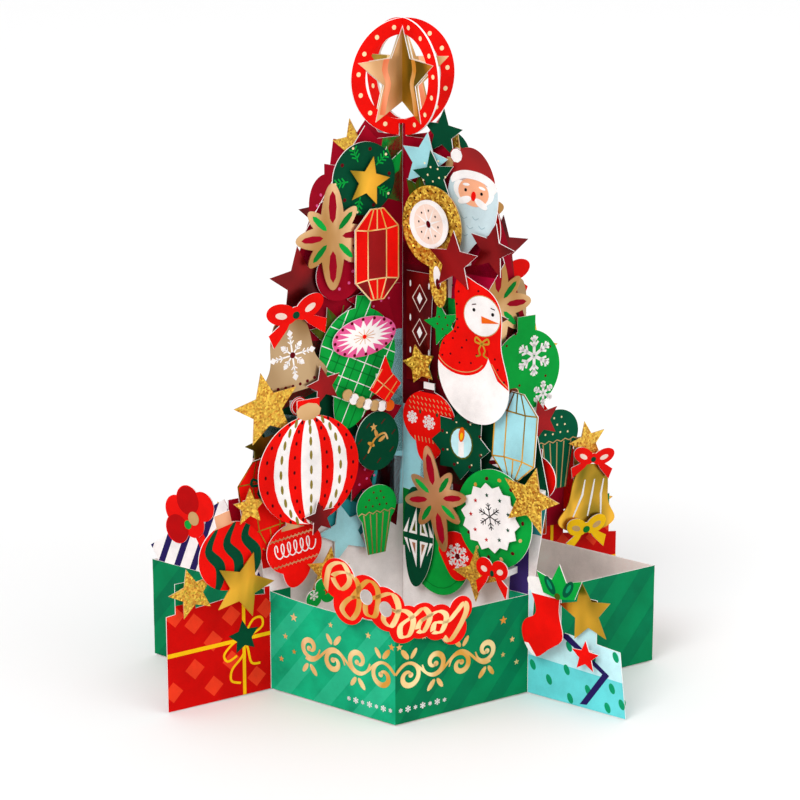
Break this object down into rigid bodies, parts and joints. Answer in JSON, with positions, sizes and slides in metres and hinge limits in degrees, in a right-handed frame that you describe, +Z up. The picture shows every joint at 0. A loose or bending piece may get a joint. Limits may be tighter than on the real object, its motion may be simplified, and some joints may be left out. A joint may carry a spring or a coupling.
{
  "type": "pop up card",
  "caption": "Festive pop up card: a folded diamond-shaped box of card with a tree of two slotted sheets, dressed with layered die-cut ornaments under a folded star topper.",
  "frame": {"origin": "on the ground below the tree's middle fold, at the middle of the diamond-shaped box", "axes": "+Z up along the middle fold, -Y towards the box's front corner, +X to the right seen from the front"},
  "size_m": [0.1857, 0.1375, 0.2376],
  "materials": {
    "green_card": "matt printed card with white cut edges",
    "printed_card": "matt printed card in crimson, green and pale blue fields, with white cut edges",
    "red_card": "matt printed card",
    "crimson_card": "matt printed card",
    "maroon_foil": "metallic foil on card",
    "gold_foil": "metallic foil on card",
    "gold_glitter": "coarse glitter on card",
    "pale_blue_card": "matt printed card",
    "white_card": "bare and printed white card",
    "dark_green_card": "matt printed card",
    "bright_green_card": "matt printed card",
    "yellow_card": "matt printed card",
    "white_foam": "soft foam pad"
  },
  "bodies": {
    "root": {"argyle_diamond": "red_card", "back_wall": "green_card", "bead_garlands": "gold_foil", "candle_wreath": "dark_green_card", "candy_canes": "white_card", "corner_gift": "white_card", "crimson_lantern": "crimson_card", "crimson_panels": "crimson_card", "crimson_stars": "crimson_card", "crystal_lantern": "pale_blue_card", "curly_bauble": "red_card", "dark_stars": "dark_green_card", "father_christmas": "white_card", "foam_pads": "white_foam", "foil_stars": "gold_foil", "front_wall": "green_card", "glitter_stars": "gold_glitter", "gold_bell": "gold_foil", "gold_finial": "gold_glitter", "gold_flowers": "gold_foil", "green_bauble": "bright_green_card", "green_cone": "bright_green_card", "harlequin_drop": "dark_green_card", "holly_balls": "bright_green_card", "holly_sprigs": "dark_green_card", "leaf_sprig": "bright_green_card", "left_wall": "green_card", "maroon_stars": "maroon_foil", "mitten": "red_card", "nordic_bauble": "red_card", "nordic_panel": "maroon_foil", "pale_star": "pale_blue_card", "petal_bow": "crimson_card", "petal_ovals": "white_card", "plaid_bauble": "bright_green_card", "plain_baubles": "crimson_card", "red_balls": "red_card", "red_bows": "red_card", "red_lantern": "red_card", "right_wall": "green_card", "round_bauble": "dark_green_card", "scroll_plaque": "red_card", "slim_stars": "gold_glitter", "snow_patch": "white_card", "snow_wreath": "bright_green_card", "snowflake_bauble": "bright_green_card", "snowman": "white_card", "starburst_oval": "white_card", "stocking": "red_card", "striped_bauble": "red_card", "swirl_bauble": "red_card", "teal_stars": "pale_blue_card", "top_leaves": "bright_green_card", "topper_discs": "red_card", "topper_stars": "gold_foil", "tree_sheet_left": "printed_card", "tree_sheet_right": "printed_card", "white_bell": "gold_foil", "wreath_disc": "dark_green_card", "yellow_bow": "yellow_card"}
  },
  "joints": []
}
